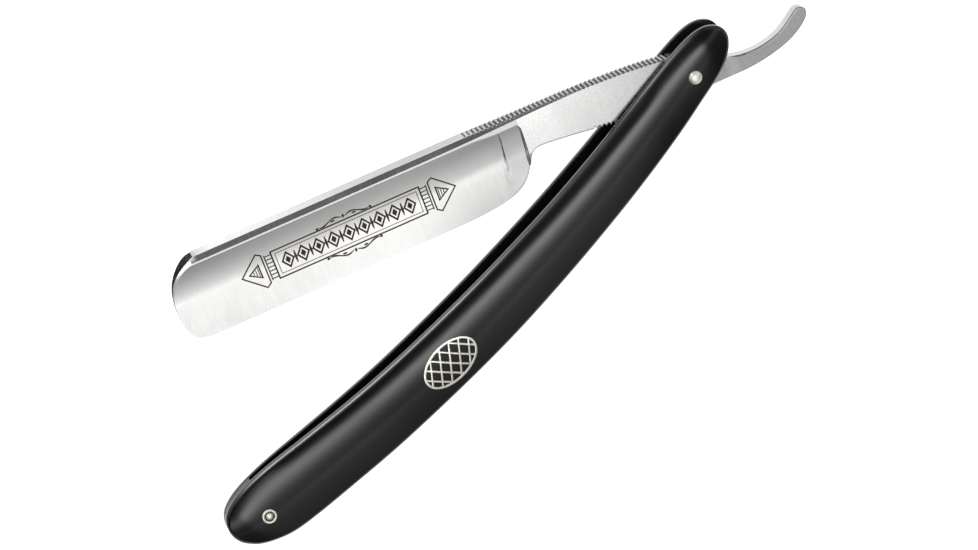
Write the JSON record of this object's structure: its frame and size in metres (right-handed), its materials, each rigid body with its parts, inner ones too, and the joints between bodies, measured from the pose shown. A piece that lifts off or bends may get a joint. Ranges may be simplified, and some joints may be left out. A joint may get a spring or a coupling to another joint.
{
  "type": "straight razor",
  "caption": "Folding straight razor: hollow-ground steel blade with notched tang and curled tail, hinged between two bowed black scales with an oval inlay.",
  "frame": {"origin": "centre of the whole outline at the lowest point, as the razor lies on its back scale", "axes": "+X along the handle from the wedge pin to the pivot pin, +Y towards the side on which the blade opens, +Z through the handle towards the inlay"},
  "size_m": [0.156, 0.0599, 0.0109],
  "materials": {
    "blade_steel": "satin ground hollow with mirror spine facets",
    "scale_black": "polished black plastic",
    "wedge_grey": "sanded end grain of the black plastic",
    "nickel_silver": "polished nickel silver",
    "washer_brass": "plain",
    "inlay_resin": "polished black resin"
  },
  "bodies": {
    "handle": {"front_scale": "scale_black", "back_scale": "scale_black", "wedge": "wedge_grey", "pivot_pin": "nickel_silver", "pivot_washer_front": "washer_brass", "pivot_washer_back": "washer_brass", "wedge_pin": "nickel_silver", "wedge_collar_front": "nickel_silver", "wedge_collar_back": "nickel_silver", "inlay_badge": "nickel_silver", "inlay_filler": "inlay_resin"},
    "blade": {"blade": "blade_steel"}
  },
  "joints": [
    {"name": "blade_pivot", "type": "hinge", "parent": "handle", "child": "blade", "pos_m": [0.0525, -0.0191, 0.00545], "axis": [0, 0, -1], "range_deg": [-20.5, 316]}
  ]
}
